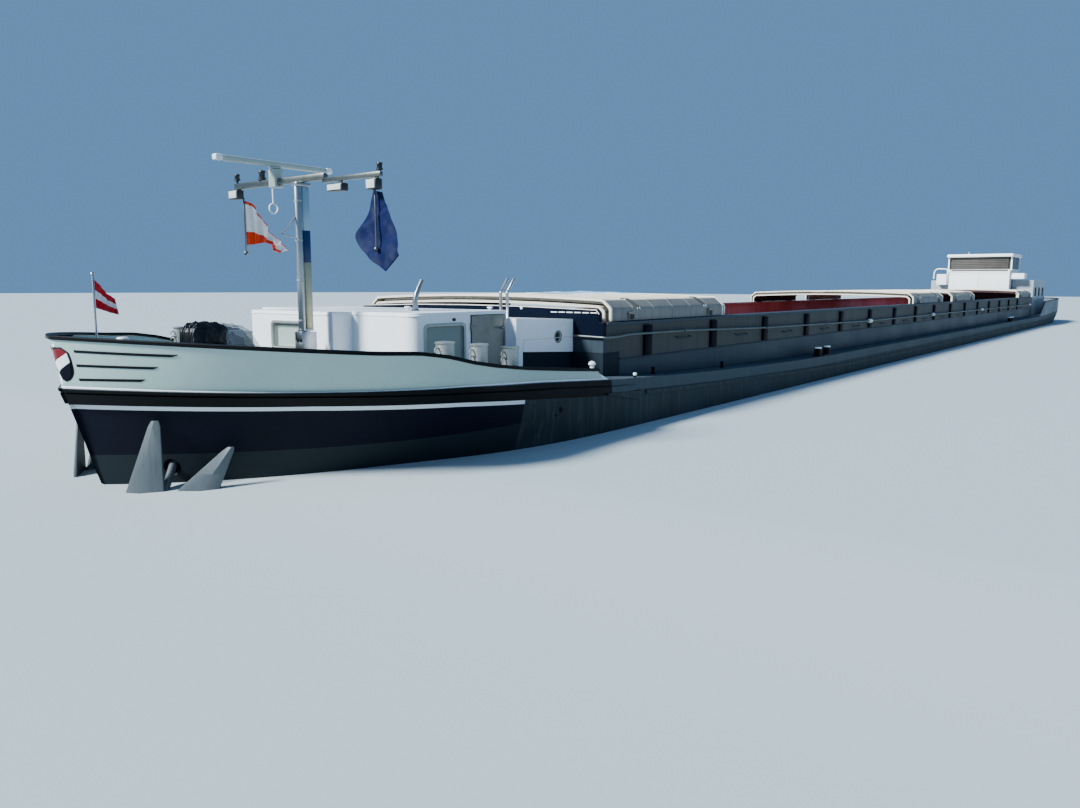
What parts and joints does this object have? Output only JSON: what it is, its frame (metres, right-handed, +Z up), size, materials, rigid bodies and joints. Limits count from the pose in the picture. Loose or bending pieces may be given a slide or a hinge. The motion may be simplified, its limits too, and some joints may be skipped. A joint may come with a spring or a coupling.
{
  "type": "inland motor barge, 1:2 scale model",
  "caption": "Self-propelled inland dry-cargo barge, half-size model, with an open hold, telescoping hatch covers, forward cabin, folding radar mast, and wheelhouse aft.",
  "frame": {"origin": "centre of the bounding box in plan, at the height of the flat keel", "axes": "+X to the bow, +Y to port, +Z up; the load waterline lies 1.075 m above the keel"},
  "size_m": [36.75, 4.12, 3.5325],
  "materials": {
    "hull_paint": "weathered dark hull paint with a navy bow and a charcoal boot-top",
    "bulwark_paint": "light blue-grey gloss paint",
    "rail_black": "black gloss paint",
    "coaming_paint": "slate grey paint, dusty",
    "hatch_navy": "navy gloss paint",
    "cover_sheet": "weathered sheet, cream at the front edges",
    "cabin_white": "white gloss paint",
    "deckhouse_grey": "light grey paint",
    "stainless": "brushed stainless steel, slightly yellowed",
    "anchor_grey": "light grey paint over cast steel",
    "radar_grey": "grey-green moulded plastic with white end caps",
    "window_glass": "dark tinted glass",
    "bronze": "polished propeller bronze",
    "winch_paint": "light grey paint",
    "winch_tarp": "coated tarpaulin, creased",
    "flag_cloth_red": "woven flag cloth, red with a white middle stripe",
    "flag_cloth_orange": "woven flag cloth, white and orange-red",
    "flag_cloth_blue": "woven flag cloth, blue"
  },
  "bodies": {
    "ship": {"hull": "hull_paint", "bow_bulwark": "bulwark_paint", "bow_rail": "rail_black", "stern_bulwark": "deckhouse_grey", "stern_rail": "rail_black", "coaming_port": "coaming_paint", "coaming_starboard": "coaming_paint", "hatch_front_wall": "hatch_navy", "hatch_aft_wall": "coaming_paint", "cover_4_small": "cover_sheet", "fore_cabin": "cabin_white", "fore_pane_front": "window_glass", "fore_pane_port": "window_glass", "fore_pane_starboard": "window_glass", "fore_locker": "cabin_white", "mast_foot": "stainless", "jackstaff": "stainless", "jack_flag": "flag_cloth_red", "anchor_winch": "winch_paint", "winch_cover": "winch_tarp", "anchor_port": "anchor_grey", "anchor_starboard": "anchor_grey", "wheelhouse": "cabin_white", "wheelhouse_glass": "window_glass", "wheelhouse_roof": "cabin_white", "wing_locker_port": "cabin_white", "wing_locker_starboard": "cabin_white", "deckhouse": "deckhouse_grey"},
    "cover_1_small": {"cover_1_small": "cover_sheet"},
    "cover_1_medium": {"cover_1_medium": "cover_sheet"},
    "cover_1_large": {"cover_1_large": "cover_sheet"},
    "cover_2_small": {"cover_2_small": "cover_sheet"},
    "cover_2_medium": {"cover_2_medium": "cover_sheet"},
    "cover_2_large": {"cover_2_large": "cover_sheet"},
    "cover_3_medium": {"cover_3_medium": "cover_sheet"},
    "cover_3_large": {"cover_3_large": "cover_sheet"},
    "cover_4_medium": {"cover_4_medium": "cover_sheet"},
    "cover_4_large": {"cover_4_large": "cover_sheet"},
    "fore_cabin_door": {"fore_cabin_door": "stainless"},
    "mast_top": {"mast": "stainless", "mast_arm": "stainless", "radar_gearbox": "radar_grey", "flag_starboard": "flag_cloth_orange", "flag_port": "flag_cloth_blue"},
    "radar_scanner": {"radar_scanner": "radar_grey"},
    "wheelhouse_door": {"wheelhouse_door": "cabin_white"},
    "deckhouse_door": {"deckhouse_door": "deckhouse_grey"},
    "crane": {"crane": "cabin_white"},
    "propeller": {"propeller": "bronze"},
    "rudder_port": {"rudder_port": "hull_paint"},
    "rudder_starboard": {"rudder_starboard": "hull_paint"}
  },
  "joints": [
    {"name": "cover_1_small_slide", "type": "slide", "parent": "ship", "child": "cover_1_small", "axis": [1, 0, 0], "range_m": [0, 0.096]},
    {"name": "cover_1_medium_slide", "type": "slide", "parent": "ship", "child": "cover_1_medium", "axis": [-1, 0, 0], "range_m": [0, 2.1412]},
    {"name": "cover_1_large_slide", "type": "slide", "parent": "ship", "child": "cover_1_large", "axis": [-1, 0, 0], "range_m": [0, 4.6384]},
    {"name": "cover_2_small_slide", "type": "slide", "parent": "ship", "child": "cover_2_small", "axis": [1, 0, 0], "range_m": [0, 4.0294]},
    {"name": "cover_2_medium_slide", "type": "slide", "parent": "ship", "child": "cover_2_medium", "axis": [1, 0, 0], "range_m": [0, 1.7922]},
    {"name": "cover_2_large_slide", "type": "slide", "parent": "ship", "child": "cover_2_large", "axis": [-1, 0, 0], "range_m": [0, 0.705]},
    {"name": "cover_3_medium_slide", "type": "slide", "parent": "ship", "child": "cover_3_medium", "axis": [1, 0, 0], "range_m": [0, 0.3928]},
    {"name": "cover_3_large_slide", "type": "slide", "parent": "ship", "child": "cover_3_large", "axis": [-1, 0, 0], "range_m": [0, 2.1044]},
    {"name": "cover_4_medium_slide", "type": "slide", "parent": "ship", "child": "cover_4_medium", "axis": [1, 0, 0], "range_m": [0, 4.7184]},
    {"name": "cover_4_large_slide", "type": "slide", "parent": "ship", "child": "cover_4_large", "axis": [1, 0, 0], "range_m": [0, 2.2612]},
    {"name": "fore_cabin_door_hinge", "type": "hinge", "parent": "ship", "child": "fore_cabin_door", "pos_m": [15.525, 1.3104, 1.9], "axis": [0, 0, -1], "range_deg": [0, 90]},
    {"name": "mast_fold", "type": "hinge", "parent": "ship", "child": "mast_top", "pos_m": [16.594, 0.459, 1.975], "axis": [0, 1, 0], "range_deg": [0, 45]},
    {"name": "radar_turn", "type": "hinge", "parent": "mast_top", "child": "radar_scanner", "pos_m": [16.6, 0.145, 3.386], "axis": [0, 0, 1], "continuous": true},
    {"name": "wheelhouse_door_hinge", "type": "hinge", "parent": "ship", "child": "wheelhouse_door", "pos_m": [-14.1104, 0.725, 3.0275], "axis": [0, 0, -1], "range_deg": [0, 100]},
    {"name": "deckhouse_door_hinge", "type": "hinge", "parent": "ship", "child": "deckhouse_door", "pos_m": [-15.8104, -0.2, 2.05], "axis": [0, 0, 1], "range_deg": [0, 100]},
    {"name": "crane_slew", "type": "hinge", "parent": "ship", "child": "crane", "pos_m": [-13.15, -1.15, 2.75], "axis": [0, 0, -1], "range_deg": [0, 90]},
    {"name": "propeller_turn", "type": "hinge", "parent": "ship", "child": "propeller", "pos_m": [-16.45, 0, 0.425], "axis": [1, 0, 0], "continuous": true},
    {"name": "rudder_port_turn", "type": "hinge", "parent": "ship", "child": "rudder_port", "pos_m": [-17.125, 0.21, 0.425], "axis": [0, 0, 1], "range_deg": [-60, 60]},
    {"name": "rudder_starboard_turn", "type": "hinge", "parent": "ship", "child": "rudder_starboard", "pos_m": [-17.125, -0.21, 0.425], "axis": [0, 0, 1], "range_deg": [-60, 60]}
  ],
  "couplings": [
    {"joint": "rudder_starboard_turn", "follows": "rudder_port_turn", "ratio": 1}
  ]
}
